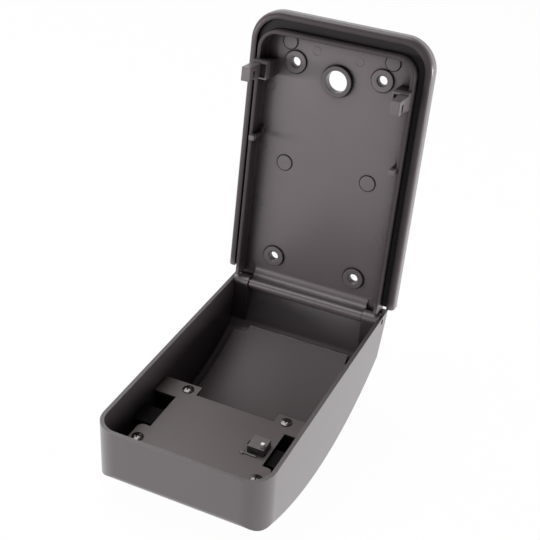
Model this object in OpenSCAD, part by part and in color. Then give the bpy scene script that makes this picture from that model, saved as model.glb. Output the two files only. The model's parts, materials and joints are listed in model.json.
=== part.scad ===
// Combination key safe, open: a cast wall plate, and a deep cast cover that
// swings down from it on a hinge pin. A four-wheel lock sits under a steel
// plate in the cover, and its latch catches two blades on the wall plate.
// X runs to the right, Z up the wall, Y into the wall. The origin is on the
// wall plate's back face, midway between its four screw holes.
// Lengths are millimetres.

/* [Cover] */
// Width across the rim
cover_width = 88; // [84:0.5:96]
// Hinge axis to the outside of the free end
cover_length = 146; // [142:0.5:156]
// Rim to the crest of the curved front
cover_depth = 45.4; // [44:0.1:50]
// Radius of the curved front
front_radius = 160; // [150:1:200]
// Thickness of the cast walls
cover_wall = 2; // [1.6:0.1:2.4]
// Rounding along the front's two long edges
edge_round = 4; // [3:0.1:6]
// Rounding of the free end's corners, seen from the front
corner_round = 12; // [9:0.1:14]
// Rounding of the free end's front edge
toe_round = 4.5; // [3:0.1:6]
// Rounding of the hinge end's front edge
heel_round = 12; // [8:0.5:14]
// How far the hinge end's rim lies beyond the axis
heel_reach = 8.5; // [8:0.1:10]
// Lean of the hinge end's wall
heel_lean = 22; // [16:0.5:24]
// Thickness of the liner on the cavity floor
liner_thickness = 2.2; // [1:0.1:3]
// Room between the liner and the side walls
liner_side = 5.2; // [4:0.1:10]
// Half-width of the liner's longer middle
liner_middle = 29.3; // [20:0.1:32]

/* [Hinge] */
// Opening angle at the stop
open_angle = 97.4; // [92:0.1:100]
// How far the axis lies below the cover's rim
axis_below_rim = 2.6; // [2.4:0.1:3]
// Hinge pin diameter
pin_d = 3; // [2:0.1:3.6]
// Barrel diameter on the wall plate
barrel_d = 6.4; // [5.6:0.1:6.8]
// Barrel length
barrel_length = 66.4; // [56:0.2:68]
// Diameter of the cover's two knuckles
knuckle_d = 8; // [6.4:0.1:8.4]

/* [Wall plate] */
// Depth of the tray floor behind the axis
tray_behind_axis = 4.9; // [4.7:0.1:6]
// Floor thickness
plate_thickness = 3; // [2:0.1:4]
// Width of the outer lip
lip_width = 3.8; // [3:0.1:5]
// Height of the outer lip from the wall
lip_height = 6.4; // [5.8:0.1:9]
// Rounding of the lip's outer edge
lip_round = 2.6; // [1:0.1:2.8]
// Where the lip's two ends stop above the axis
lip_end = 7; // [6:0.1:10]
// Thickness of the inner wall
tray_wall = 1.7; // [1.2:0.1:2]
// How far the inner wall stands in front of the axis
tray_wall_rise = 4; // [1:0.1:5]
// Foot of the inner wall above the axis
tray_wall_foot = 5.2; // [5:0.1:7]
// Room between the inner wall and the cover's side walls
side_room = 0.8; // [0.6:0.1:1.6]
// Room between the inner wall and the cover's free end
end_room = 2.1; // [1.8:0.1:4]
// Thickness of the seal in the channel
seal_thickness = 1.6; // [0.8:0.1:1.8]

/* [Wall screws] */
// Hole spacing across
screw_across = 46.5; // [40:0.5:54]
// Upper holes, down from the cover's free end
screw_below_top = 19.8; // [18:0.1:24]
// Lower holes above the axis
screw_first = 17.7; // [16:0.1:20]
// Hole diameter
screw_hole = 5; // [4:0.1:6]
// Boss diameter
boss_d = 11.2; // [9:0.1:13]
// Boss height over the tray floor
boss_rise = 1; // [0.5:0.1:2]
// Central hanging hole diameter
hang_hole = 11.4; // [8:0.1:13]
// Collar diameter around the hanging hole
hang_collar = 15.8; // [15:0.1:18]
// Collar height over the tray floor
hang_rise = 2.2; // [1:0.1:3]
// Hanging hole, down from the cover's free end
hang_below_top = 25; // [22:0.5:32]
// Diameter of the knock-out discs midway up
mid_disc = 8; // [6:0.1:9]
// Diameter of the two knock-out discs at the top
top_disc = 7.4; // [6:0.1:8]
// Height of the discs over the tray floor
disc_rise = 0.5; // [0.3:0.1:1]
// Width of the fine groove around each disc, boss and collar
groove_width = 0.5; // [0.3:0.1:0.8]
// Depth of that groove
groove_depth = 0.5; // [0.3:0.1:0.8]

/* [Catches] */
// Width of the catch block
catch_width = 8.2; // [7:0.1:8.6]
// Catch block length up the plate
catch_length = 8.9; // [8:0.1:10]
// Middle of the catch, down from the cover's free end
catch_below_top = 24.1; // [22:0.1:27]
// Room between the block and the lock plate's screw heads
catch_room = 3.7; // [1:0.1:6]
// Thickness of the blade
blade_thickness = 4.7; // [3.6:0.1:5]
// Length of the blade up the plate
blade_length = 7; // [6.4:0.1:8]
// Thickness of the nose that the latch holds
nose_thickness = 3.6; // [2:0.1:4.4]
// Room between the two small guide pegs and the lock plate
peg_room = 5.7; // [2:0.1:8]
// Pegs, down from the cover's free end
peg_below_top = 61.8; // [50:0.1:66]

/* [Lock plate] */
// Sheet thickness
lock_sheet = 1.5; // [1:0.1:1.8]
// Straight far edge, from the cover's free end
lock_length = 60.2; // [58:0.1:68]
// Side notches start here, from the free end
notch_start = 54.5; // [50:0.5:57]
// Side notches end here, from the free end
notch_end = 29.4; // [27:0.1:34]
// Depth of the side notches from the side walls
notch_inset = 12.5; // [8:0.1:14]
// Room between the end tab and the catch blades
tab_room = 1.3; // [0.8:0.1:3]
// Far screws, in from the side walls
far_screw_in = 15.2; // [12:0.1:18]
// Far screws, beyond the straight far edge
far_screw_past = 2.2; // [1.5:0.1:4]
// Near screws, in from the end tab's sides
near_screw_in = 4.2; // [3.6:0.1:7]
// Screw head diameter
head_d = 5.8; // [5:0.1:7]
// Screw head height
head_h = 1.2; // [1.2:0.1:2.4]
// Screw shank diameter
shank_d = 3; // [2.5:0.1:3.2]
// Post diameter under each screw
post_d = 6.4; // [5.6:0.1:6.6]

/* [Wheels] */
// Width of a number wheel
wheel_width = 5; // [4.4:0.1:5.4]
// Distance across a wheel's corners
wheel_d = 19; // [17:0.1:21]
// How far a wheel's corners stand out of the front
wheel_proud = 1.4; // [0.8:0.1:2.2]
// Room over the wheels, under the latch slide
wheel_room = 3.2; // [2.8:0.1:6]
// Axle diameter
axle_d = 4; // [3:0.1:4.4]
// Hub diameter
hub_d = 11.2; // [10:0.1:12.4]
// Diameter of the hub's groove
groove_d = 8.4; // [7.8:0.1:9.2]

/* [Latch] */
// Sheet thickness
latch_sheet = 1.8; // [1.4:0.1:1.9]
// Travel between open and locked
latch_travel = 8; // [7:0.1:9]
// How far a finger reaches into its catch
latch_grip = 3.1; // [2:0.1:3.6]
// Room between the fingers and the side walls
latch_side = 1.7; // [1:0.1:2.4]
// Width of the thumb slide
thumb_width = 23.2; // [18:0.1:26]
// Length of the thumb slide
thumb_length = 9; // [8:0.1:11]
// Thickness of the thumb slide
thumb_thickness = 3; // [2:0.1:4]

/* [Code change] */
// Travel of the change button
change_travel = 2.4; // [2:0.1:2.8]
// Width of the button
change_width = 8.4; // [8:0.1:10]
// Length of the button
change_length = 8.6; // [7:0.1:10]
// Height of the button over the lock plate
change_height = 3.5; // [2:0.1:5]
// Button's middle beyond the last wheel's right face
change_past = 1.1; // [-1:0.1:1.5]

/* [Fits] */
// Radial room of a turning or sliding fit on a pin
run_fit = 0.05; // [0.02:0.01:0.1]
// Room at faces that slide past each other
slide_fit = 0.2; // [0.1:0.05:0.25]
// Room between parts that swing past each other
swing_gap = 0.6; // [0.4:0.05:0.9]
// Room at the opening stop
stop_gap = 0.12; // [0.05:0.01:0.3]

/* [Hidden] */
$fn = 64;

// Placing: both halves are drawn with the hinge axis at their origin
axis_from_wall = tray_behind_axis + plate_thickness;
screw_up = cover_length - screw_below_top - screw_first;
pattern_mid = screw_first + screw_up / 2;
hang_up = cover_length - hang_below_top;
catch_up = cover_length - catch_below_top;
peg_up = cover_length - peg_below_top;
past_square = open_angle - 90;
back = -axis_from_wall;
tray = -tray_behind_axis;

// Cover outline
half = cover_width / 2;
inner_half = half - cover_wall;
rim = axis_below_rim;
crest = -cover_length / 2;
front_axis = [crest, rim - cover_depth + front_radius];
heel_out = [cos(heel_lean), -sin(heel_lean)];
heel_down = [-sin(heel_lean), -cos(heel_lean)];
heel_rim = [heel_reach, rim];
toe_arm = front_radius - toe_round;
heel_arm = front_radius - heel_round;
toe_y = -cover_length + toe_round;
toe_mid = [toe_y, front_axis.y - sqrt(pow(toe_arm, 2) - pow(toe_y - crest, 2))];
heel_start = heel_rim - heel_round * heel_out - front_axis;
heel_along = heel_start * heel_down;
heel_step = sqrt(pow(heel_along, 2) - heel_start * heel_start + pow(heel_arm, 2)) - heel_along;
heel_mid = heel_rim - heel_round * heel_out + heel_step * heel_down;
far_corner_round = 3;

// Wall plate outline
lip_inner = half + swing_gap;
lip_top = cover_length + swing_gap;
lip_corner = corner_round + swing_gap;
tray_half = inner_half - side_room;
tray_top = cover_length - cover_wall - end_room;
tray_corner = corner_round - cover_wall;
floor_foot = heel_reach * sin(past_square) + rim * cos(past_square) + stop_gap;
leaf_round = 5.4;
leaf_back = tray_behind_axis - 0.5;
lip_chamfer = 3;

// Lock plate outline, from the hinge axis
lock_gap = 0.4;
lock_far = cover_length - lock_length;
lock_near = cover_length - cover_wall - lock_gap;
lock_reach = inner_half - lock_gap;
notch_far = cover_length - notch_start;
notch_near = cover_length - notch_end;
notch_half = inner_half - notch_inset;
tab_half = tray_half - blade_thickness - tab_room;
tab_round = 3;
tab_near_round = corner_round - cover_wall - lock_gap;
ear_margin = 4.4;
ear_inner = 5.5;
far_screw_x = inner_half - far_screw_in;
far_screw_y = lock_far - far_screw_past;
near_screw_x = tab_half - near_screw_in;

// Latch slide at rest, open
catch_foot = catch_up - catch_length / 2;
blade_foot = catch_up - blade_length / 2;
notch_depth = latch_grip + 1.5;
partition = 2;
part_gap = 0.7;
latch_half = inner_half - latch_side;
latch_far = -max(lock_far + partition / 2, far_screw_y + post_d / 2) - part_gap;
tip_rest = latch_travel - latch_grip - blade_foot;
finger_length = 12;
stem_half = 4;
stem_length = 5;
stem_y = latch_far - stem_length / 2;

// Thumb slide and its recess in the front
recess_room = 0.5;
recess_depth = 3.8;
thumb_far = stem_y + thumb_length / 2 + 0.3;
recess_far = thumb_far + recess_room;
recess_near = thumb_far - thumb_length - latch_travel - 2 * recess_room;
recess_half = thumb_width / 2 + 0.4;
recess_floor = rim - cover_depth + recess_depth;
pad_top = recess_floor + 2.1;

// Wheel axle, behind the thumb slide and at its height over the curved front
bezel_rim = 0.9;
bezel_far = recess_near - 1.3;
window_short = 2.9;
axle_y = bezel_far - bezel_rim + window_short - wheel_d / 2;
axle_z = front_axis.y - sqrt(pow(front_radius, 2) - pow(axle_y - crest, 2))
    + wheel_d / 2 - wheel_proud;
cheek_past = 0.6;
strip = 0.4;
strip_up = 5;
strip_down = 2;
strip_bump = 1.5;
strip_near = axle_y - wheel_d / 2 - cheek_past;
near_screw_y = post_d / 2 + max(latch_travel - tip_rest + 1.3, strip + 0.3 - strip_near);

// Lock levels, up from the wheels
latch_under = axle_z + wheel_d / 2 + wheel_room;
latch_top = latch_under + latch_sheet;
lock_under = latch_top + slide_fit;
lock_top = lock_under + lock_sheet;
bar_top = latch_under - 0.3;
bar_under = bar_top - 2;

// Catch levels, out from the wall plate
nose_back = slide_fit - latch_under;
blade_end = nose_back + nose_thickness;
notch_back = -latch_top - 2 * slide_fit;
catch_block = -lock_top - head_h - catch_room;
peg_rise = -lock_top - peg_room;

// Wheels and hubs along the axle
hub_gap = 0.2;
hub_gate = 2.6;
hub_groove = 1.6;
hub_flange = 0.8;
hub_boss = 1.8;
hub_boss_d = axle_d + 3;
hub_socket_d = hub_boss_d + 0.6;
hub_length = hub_gate + hub_groove + hub_flange;
hub_face = -wheel_width / 2 - hub_gap;
row_gap = 0.4;
wheel_pitch = wheel_width + hub_gap + hub_length + change_travel + row_gap;
wheel_x = [for (k = [-1.5:1:1.5]) k * wheel_pitch];
row_left = wheel_x[0] + hub_face - hub_length - change_travel;
row_right = wheel_x[3] + wheel_width / 2;
cheek = 2.5;
cheek_left = row_left - 0.5;
cheek_right = row_right + 1.4;
cheek_far = 9;
clip = 0.5;
clip_rim = 1.5;
clip_stand = 0.1;
axle_past = 1.4;

// Fence teeth, clear of the hubs at both ends of the travel
fence = 1.2;
fence_width = 1.8;
fence_y = axle_y + latch_travel / 2;
fence_high = sqrt(pow(hub_d / 2, 2) - pow(latch_travel / 2 - fence / 2, 2)) + 0.45;
fence_under = axle_z + fence_high;
hub_flat = fence_high - 0.4;
latch_body = fence_width / 2 + hub_gate / 2 - hub_face - wheel_x[0] + 1.1;

// Bezel around the wheel windows
bezel_half = row_right + 3;
bezel_proud = 0.8;
window_half = wheel_width / 2 + 0.4;
window_near = axle_y - wheel_d / 2 + 0.4;
window_far = axle_y + wheel_d / 2 - window_short;
bezel_near = window_near - 2;

// Code change pieces
change_stem = 3;
change_stem_x = row_right + 0.4 - change_stem;
change_x = row_right + change_past;
change_cap = 1.5;
bar_y = axle_y + hub_d / 2 + 0.4;
bar_length = 2.5;
change_y = bar_y + bar_length / 2 - 1.8;
finger = 1;
liner_half = inner_half - liner_side;
liner_end = 6;
liner_step = 5;
disc_in = 12.2;
disc_down = 6.1;
groove_x = hub_face - hub_gate - hub_groove / 2;

// Stands the wall plate up against the wall
module on_wall() {
    translate([0, -axis_from_wall, -pattern_mid])
        rotate([90, 0, 0])
            children();
}

// Swings the closed cover down to its stop
module on_hinge() {
    translate([0, -axis_from_wall, -pattern_mid])
        rotate([past_square, 0, 0])
            children();
}

// A box between two corners
module box(low, high) {
    translate(low)
        cube(high - low);
}

// A round bar along X from one end to the other
module bar_x(x0, x1, d) {
    translate([x0, 0, 0])
        rotate([0, 90, 0])
            cylinder(d = d, h = x1 - x0);
}

// Both sides alike
module both_sides() {
    children();
    mirror([1, 0, 0])
        children();
}

// Upright outline with its two top corners rounded
module arch(half_width, foot, top, round) {
    translate([-half_width, foot])
        square([2 * half_width, top - round - foot]);
    translate([round - half_width, foot])
        square([2 * (half_width - round), top - foot]);
    for (side = [-1, 1])
        translate([side * (half_width - round), top - round])
            circle(round);
}

// Cross-section of the lip, from its inner face outward
module lip_section() {
    intersection() {
        square([lip_width, lip_height]);
        union() {
            square([lip_width, lip_height - lip_round]);
            square([lip_width - lip_round, lip_height]);
            translate([lip_width - lip_round, lip_height - lip_round])
                circle(lip_round);
        }
    }
}

// The lip runs up both sides and over the top in one piece
module lip() {
    straight = lip_inner - lip_corner;
    shoulder = lip_top - lip_corner;
    both_sides() {
        translate([lip_inner, shoulder, back])
            rotate([90, 0, 0])
                linear_extrude(shoulder - lip_end)
                    lip_section();
        translate([straight, shoulder, back])
            rotate_extrude(angle = 90)
                translate([lip_corner, 0])
                    lip_section();
    }
    translate([-straight, lip_top, back])
        rotate([90, 0, 90])
            linear_extrude(2 * straight)
                lip_section();
}

// Barrel on the axis, with the leaf that blends it into the floor
module barrel() {
    bar_x(-barrel_length / 2, barrel_length / 2, barrel_d);
    translate([-barrel_length / 2, 0, 0])
        rotate([90, 0, 90])
            linear_extrude(barrel_length)
                difference() {
                    union() {
                        translate([0, -leaf_back])
                            square([floor_foot + 1, leaf_back]);
                        translate([floor_foot, tray - 1])
                            square([leaf_round + barrel_d / 2 - floor_foot, 1 - tray]);
                    }
                    translate([leaf_round + barrel_d / 2, tray + leaf_round])
                        circle(leaf_round);
                }
}

// Catch on the right: a block with a shallow pocket, and the notched blade
module catch() {
    out = tray_half;
    pocket = catch_width - blade_thickness;
    difference() {
        union() {
            box([out - catch_width, catch_foot, tray - 1],
                [out, catch_foot + catch_length, catch_block]);
            box([out - blade_thickness, blade_foot, tray - 1],
                [out, blade_foot + blade_length, blade_end]);
        }
        box([out - catch_width + 0.8, catch_foot + 0.8, catch_block - 1.5],
            [out - catch_width + pocket, catch_foot + catch_length - 1.2, catch_block + 1]);
        box([out - catch_width - 1, blade_foot - 1, notch_back],
            [out + 1, blade_foot + notch_depth, nose_back]);
        translate([out - catch_width - 1, blade_foot, blade_end])
            rotate([45, 0, 0])
                cube([catch_width + 2, 1.6, 1.6], center = false);
    }
}

// Small peg with a slanted foot on the right inner wall
module peg() {
    translate([tray_half - tray_wall - 2.7, peg_up, tray - 0.5])
        cube([2.8, 2.6, peg_rise - tray + 0.5]);
    translate([tray_half - tray_wall - 2.7, peg_up + 0.8, tray])
        rotate([90, 0, 90])
            linear_extrude(2.8)
                polygon([[0, 0], [5, 0], [0, 6]]);
}

// Fine groove around one raised round
module groove(x, y, d) {
    translate([x, y, back + plate_thickness - groove_depth])
        cylinder(d = d + 2 * groove_width, h = groove_depth + 1);
}

// Grooves around the bosses, the discs and the collar
module plate_grooves() {
    for (x = [-1, 1]) {
        for (y = [screw_first, screw_first + screw_up])
            groove(x * screw_across / 2, y, boss_d);
        groove(x * screw_across / 2, pattern_mid, mid_disc);
        groove(x * (tray_half - tray_wall - disc_in), tray_top - disc_down, top_disc);
    }
    groove(0, hang_up, hang_collar);
}

module wall_plate() {
    color("dimgray")
        on_wall() {
            difference() {
                union() {
                    difference() {
                        translate([0, 0, back])
                            linear_extrude(plate_thickness) {
                                arch(tray_half, floor_foot, tray_top, tray_corner);
                                arch(lip_inner + 0.4, lip_end, lip_top + 0.4, lip_corner);
                            }
                        plate_grooves();
                    }
                    translate([0, 0, back])
                        linear_extrude(tray_wall_rise - back)
                            difference() {
                                arch(tray_half, tray_wall_foot, tray_top, tray_corner);
                                arch(tray_half - tray_wall, 0,
                                    tray_top - tray_wall, tray_corner - tray_wall);
                            }
                    lip();
                    barrel();
                    both_sides() {
                        catch();
                        peg();
                    }
                    for (x = [-1, 1], y = [screw_first, screw_first + screw_up])
                        translate([x * screw_across / 2, y, back])
                            cylinder(d = boss_d, h = plate_thickness + boss_rise);
                    for (x = [-1, 1])
                        translate([x * screw_across / 2, pattern_mid, back])
                            cylinder(d = mid_disc, h = plate_thickness + disc_rise);
                    for (x = [-1, 1])
                        translate([x * (tray_half - tray_wall - disc_in), tray_top - disc_down, back])
                            cylinder(d = top_disc, h = plate_thickness + disc_rise);
                    translate([0, hang_up, back])
                        cylinder(d = hang_collar, h = plate_thickness + hang_rise);
                }
                for (x = [-1, 1], y = [screw_first, screw_first + screw_up])
                    translate([x * screw_across / 2, y, back - 1])
                        cylinder(d = screw_hole, h = plate_thickness + boss_rise + 2);
                for (x = [-1, 1], y = [screw_first, screw_first + screw_up])
                    translate([x * screw_across / 2, y, back + plate_thickness + boss_rise - 0.5])
                        cylinder(d1 = screw_hole, d2 = screw_hole + 1.2, h = 0.6);
                translate([0, hang_up, back - 1])
                    cylinder(d = hang_hole, h = plate_thickness + hang_rise + 2);
                bar_x(-barrel_length, barrel_length, pin_d + 2 * run_fit);
                both_sides()
                    translate([lip_inner + lip_width, lip_end, back - 1])
                        rotate([0, 0, 45])
                            translate([-lip_chamfer * 2, -lip_chamfer / sqrt(2), 0])
                                cube([lip_chamfer * 4, lip_chamfer / sqrt(2), lip_height + 2]);
            }
        }
}

module rim_seal() {
    color("black")
        on_wall()
            translate([0, 0, tray])
                linear_extrude(seal_thickness)
                    difference() {
                        arch(lip_inner - 0.2, lip_end + 0.5,
                            lip_top - 0.2, lip_corner - 0.2);
                        arch(tray_half + 0.2, 0, tray_top + 0.2, tray_corner + 0.2);
                    }
}

// Side view of the cover, shrunk by an inset that leaves its walls
module side_outline(inset, top) {
    heel_wall = heel_rim - inset * heel_out;
    heel_up = (top - heel_wall.y) / cos(heel_lean);
    toe_ray = (toe_mid - front_axis) / toe_arm;
    heel_ray = (heel_mid - front_axis) / heel_arm;
    polygon([
        [inset - cover_length, top],
        [inset - cover_length, toe_mid.y],
        toe_mid,
        toe_mid + front_radius * toe_ray,
        heel_mid + front_radius * heel_ray,
        heel_mid,
        heel_mid + (heel_round - inset) * heel_out,
        heel_wall - heel_up * heel_down
    ]);
    translate(toe_mid)
        circle(toe_round - inset);
    translate(heel_mid)
        circle(heel_round - inset);
}

// Front view of the cover, shrunk by an inset
module front_outline(inset) {
    wide = half - inset;
    near = inset - cover_length;
    far = heel_reach + 2 - inset;
    round = corner_round - inset;
    translate([-wide, near + round])
        square([2 * wide, far - near - round]);
    translate([round - wide, near])
        square([2 * (wide - round), far - near]);
    for (side = [-1, 1])
        translate([side * (wide - round), near + round])
            circle(round);
}

// Barrel-shaped front, revolved about a line across the cover
module front_curve(inset) {
    wide = half - inset;
    round = edge_round - inset;
    reach = front_radius - inset;
    translate([0, front_axis.x, front_axis.y])
        rotate([0, 90, 0])
            rotate_extrude($fn = 360) {
                translate([0, -wide])
                    square([reach - round, 2 * wide]);
                translate([0, round - wide])
                    square([reach, 2 * (wide - round)]);
                for (side = [-1, 1])
                    translate([reach - round, side * (wide - round)])
                        circle(round);
            }
}

// The cover as a solid lump, shrunk by an inset and cut level at the top
module cover_lump(inset, top) {
    intersection() {
        translate([0, 0, -cover_depth - 10])
            linear_extrude(cover_depth + 30)
                front_outline(inset);
        front_curve(inset);
        rotate([90, 0, 90])
            linear_extrude(cover_width + 10, center = true)
                side_outline(inset, top);
    }
}

// Posts, partition and pads that grow from the front wall
module lock_supports() {
    for (x = [-far_screw_x, far_screw_x])
        translate([x, -far_screw_y, -cover_depth])
            cylinder(d = post_d, h = cover_depth + lock_under);
    for (x = [-near_screw_x, near_screw_x])
        translate([x, -near_screw_y, -cover_depth])
            cylinder(d = post_d, h = cover_depth + lock_under);
    box([-half, -lock_far - partition / 2, -cover_depth],
        [half, -lock_far + partition / 2, lock_under]);
    box([-recess_half - 2, recess_near - 0.8, -cover_depth],
        [recess_half + 2, recess_far + 2, pad_top]);
}

// Corner pillars that carry the hinge pin
module pillars() {
    start = barrel_length / 2 + 0.3;
    both_sides() {
        bar_x(start, half - cover_wall / 2, knuckle_d);
        box([start, -knuckle_d / 2, -cover_depth], [half, heel_reach, 0]);
    }
}

module cover_shell() {
    color("dimgray")
        on_hinge()
            difference() {
                union() {
                    difference() {
                        cover_lump(0, rim);
                        cover_lump(cover_wall, rim + 1);
                    }
                    intersection() {
                        cover_lump(cover_wall / 2, rim);
                        union() {
                            lock_supports();
                            pillars();
                        }
                    }
                    both_sides()
                        bar_x(barrel_length / 2 + 0.3, inner_half + 0.5, knuckle_d);
                }
                bar_x(-half - 1, half + 1, pin_d);
                for (x = [-far_screw_x, far_screw_x])
                    translate([x, -far_screw_y, lock_under - 8])
                        cylinder(d = shank_d, h = 9);
                for (x = [-near_screw_x, near_screw_x])
                    translate([x, -near_screw_y, lock_under - 8])
                        cylinder(d = shank_d, h = 9);
                box([-bezel_half, bezel_near, -cover_depth - 5],
                    [bezel_half, bezel_far, axle_z]);
                box([-recess_half, recess_near, -cover_depth - 5],
                    [recess_half, recess_far, recess_floor]);
                box([-stem_half - 0.3, stem_y - stem_length / 2 - latch_travel - 0.3, -cover_depth],
                    [stem_half + 0.3, stem_y + stem_length / 2 + 0.3, pad_top + 1]);
            }
}

// Liner that keeps the keys off the front wall, longer in the middle
module floor_liner() {
    near = max(recess_far + 2, post_d / 2 - far_screw_y) + 0.4;
    color("black")
        on_hinge()
            difference() {
                intersection() {
                    cover_lump(cover_wall, rim);
                    union() {
                        box([-liner_half, near, -cover_depth], [liner_half, -liner_end - liner_step, rim]);
                        box([-liner_middle, near, -cover_depth], [liner_middle, -liner_end, rim]);
                    }
                }
                translate([0, front_axis.x, front_axis.y])
                    bar_x(-half, half, 2 * (front_radius - cover_wall - liner_thickness),
                        $fn = 360);
            }
}

// Lock plate: ears at the far screws, side notches, and an end tab
module lock_outline() {
    translate([-notch_half, -lock_near])
        square([2 * notch_half, lock_near - lock_far]);
    both_sides() {
        translate([far_screw_x - ear_inner, -notch_far])
            square([lock_reach - far_screw_x + ear_inner, notch_far - far_screw_y + ear_margin]);
        translate([0, tab_near_round - lock_near])
            square([tab_half, lock_near - notch_near - tab_round - tab_near_round]);
        translate([0, -lock_near])
            square([tab_half - tab_near_round, lock_near - notch_near]);
        translate([0, -notch_near - 2 * tab_round])
            square([tab_half - tab_round, 2 * tab_round]);
        translate([tab_half - tab_round, -notch_near - tab_round])
            circle(tab_round);
        translate([tab_half - tab_near_round, tab_near_round - lock_near])
            circle(tab_near_round);
    }
}

module lock_plate() {
    color("darkslategray")
        on_hinge()
            translate([0, 0, lock_under])
                linear_extrude(lock_sheet)
                    difference() {
                        lock_outline();
                        for (x = [-far_screw_x, far_screw_x])
                            translate([x, -far_screw_y])
                                circle(d = shank_d + 0.2);
                        for (x = [-near_screw_x, near_screw_x])
                            translate([x, -near_screw_y])
                                circle(d = shank_d + 0.2);
                        translate([change_stem_x - change_travel - 0.3, bar_y - 0.3])
                            square([change_stem + change_travel + 0.6, bar_length + 0.6]);
                    }
}

// Domed screw with a cross recess
module lock_screw() {
    dome = 6;
    difference() {
        union() {
            intersection() {
                cylinder(d = head_d, h = head_h);
                translate([0, 0, head_h - dome])
                    sphere(dome);
            }
            translate([0, 0, -lock_sheet - 6])
                cylinder(d = shank_d - 0.04, h = lock_sheet + 6.5);
        }
        for (turn = [0, 90])
            rotate([0, 0, turn])
                translate([-1.5, -0.35, head_h - 0.9])
                    cube([3, 0.7, 2]);
    }
}

module lock_screws() {
    color("silver")
        on_hinge() {
            for (x = [-far_screw_x, far_screw_x])
                translate([x, -far_screw_y, lock_top])
                    lock_screw();
            for (x = [-near_screw_x, near_screw_x])
                translate([x, -near_screw_y, lock_top])
                    lock_screw();
        }
}

module hinge_pin() {
    color("silver")
        on_hinge()
            bar_x(0.5 - half, half - 0.5, pin_d - 0.04);
}

// One upright cheek that carries an end of the wheel axle
module cheek_plate(x) {
    difference() {
        intersection() {
            front_curve(cover_wall);
            box([x, strip_near, -cover_depth],
                [x + cheek, axle_y + cheek_far, latch_under - slide_fit]);
        }
        translate([0, axle_y, axle_z])
            bar_x(x - 1, x + cheek + 1, axle_d);
    }
}

module wheel_brackets() {
    color("gray")
        on_hinge() {
            cheek_plate(cheek_left - cheek);
            cheek_plate(cheek_right);
        }
}

module wheel_axle() {
    color("silver")
        on_hinge()
            translate([0, axle_y, axle_z])
                bar_x(cheek_left - cheek - axle_past, cheek_right + cheek + axle_past, axle_d - 0.04);
}

module axle_clips() {
    color("silver")
        on_hinge()
            for (x = [cheek_left - cheek - clip - clip_stand, cheek_right + cheek + clip_stand])
                translate([x, axle_y, axle_z])
                    difference() {
                        bar_x(0, clip, axle_d + 2 * clip_rim);
                        bar_x(-1, clip + 1, axle_d);
                        translate([-1, -axle_d / 2 + 0.4, -axle_d * 2])
                            cube([clip + 2, axle_d - 0.8, axle_d * 2]);
                    }
}

module wheel_bezel() {
    fit = 0.05;
    color("darkgray")
        on_hinge()
            difference() {
                intersection() {
                    front_curve(-bezel_proud);
                    box([fit - bezel_half, bezel_near + fit, -cover_depth - 5],
                        [bezel_half - fit, bezel_far - fit, axle_z]);
                }
                front_curve(cover_wall);
                for (x = wheel_x)
                    box([x - window_half, window_near, -cover_depth - 10],
                        [x + window_half, window_far, axle_z]);
            }
}

module detent_strip() {
    color("silver")
        on_hinge() {
            box([cheek_left - cheek + 1, strip_near - strip, axle_z - strip_down],
                [cheek_right + cheek - 1, strip_near, axle_z + strip_up]);
            for (x = wheel_x)
                translate([0, strip_near, axle_z])
                    bar_x(x - strip_bump, x + strip_bump, 1.5 * strip);
        }
}

module latch_slide() {
    color("silver")
        on_hinge()
            difference() {
                union() {
                    box([-latch_body, tip_rest, latch_under], [latch_body, latch_far, latch_top]);
                    box([-latch_half, tip_rest, latch_under],
                        [latch_half, tip_rest + finger_length, latch_top]);
                    for (x = wheel_x)
                        box([x + hub_face - hub_gate / 2 - fence_width / 2,
                                fence_y - fence / 2, fence_under],
                            [x + hub_face - hub_gate / 2 + fence_width / 2,
                                fence_y + fence / 2, latch_under + 0.5]);
                }
                box([change_stem_x - change_travel - 0.3, bar_y - 0.3, latch_under - 1],
                    [change_stem_x + change_stem + 0.3,
                        bar_y + bar_length + latch_travel + 0.3, latch_top + 1]);
                for (x = [-2, 2])
                    translate([x, stem_y, latch_under - 1])
                        cylinder(d = 2, h = latch_sheet + 2);
            }
}

module thumb_slide() {
    color("gray")
        on_hinge()
            difference() {
                union() {
                    box([-stem_half, stem_y - stem_length / 2, recess_floor - 1],
                        [stem_half, stem_y + stem_length / 2, latch_under]);
                    box([-thumb_width / 2, thumb_far - thumb_length,
                            recess_floor - 0.3 - thumb_thickness],
                        [thumb_width / 2, thumb_far, recess_floor - 0.3]);
                    for (k = [-1:1])
                        translate([0, thumb_far - thumb_length / 2 + 2.4 * k,
                                recess_floor - 0.3 - thumb_thickness])
                            bar_x(4 - thumb_width / 2, thumb_width / 2 - 4, 1);
                }
                for (x = [-2, 2])
                    translate([x, stem_y, latch_under - 5])
                        cylinder(d = 2, h = 6);
            }
}

module slide_rivets() {
    color("silver")
        on_hinge()
            for (x = [-2, 2])
                translate([x, stem_y, latch_under - 5])
                    cylinder(d = 1.96, h = 5 + latch_sheet);
}

// Ten-sided number wheel with a socket for its hub
module number_wheel(k) {
    color("black")
        on_hinge()
            translate([wheel_x[k], axle_y, axle_z])
                difference() {
                    translate([-wheel_width / 2, 0, 0])
                        rotate([0, 90, 0])
                            rotate([0, 0, 18])
                                cylinder(d = wheel_d, h = wheel_width, $fn = 10);
                    bar_x(-wheel_width, wheel_width, axle_d + 2 * run_fit);
                    bar_x(-wheel_width, hub_boss + 0.4 + hub_face + hub_gap, hub_socket_d);
                    box([-wheel_width, -0.9, 0],
                        [hub_boss + 0.4 + hub_face + hub_gap, 0.9, hub_socket_d / 2 + 1.1]);
                }
}

module number_wheel_1() { number_wheel(0); }
module number_wheel_2() { number_wheel(1); }
module number_wheel_3() { number_wheel(2); }
module number_wheel_4() { number_wheel(3); }

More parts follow.
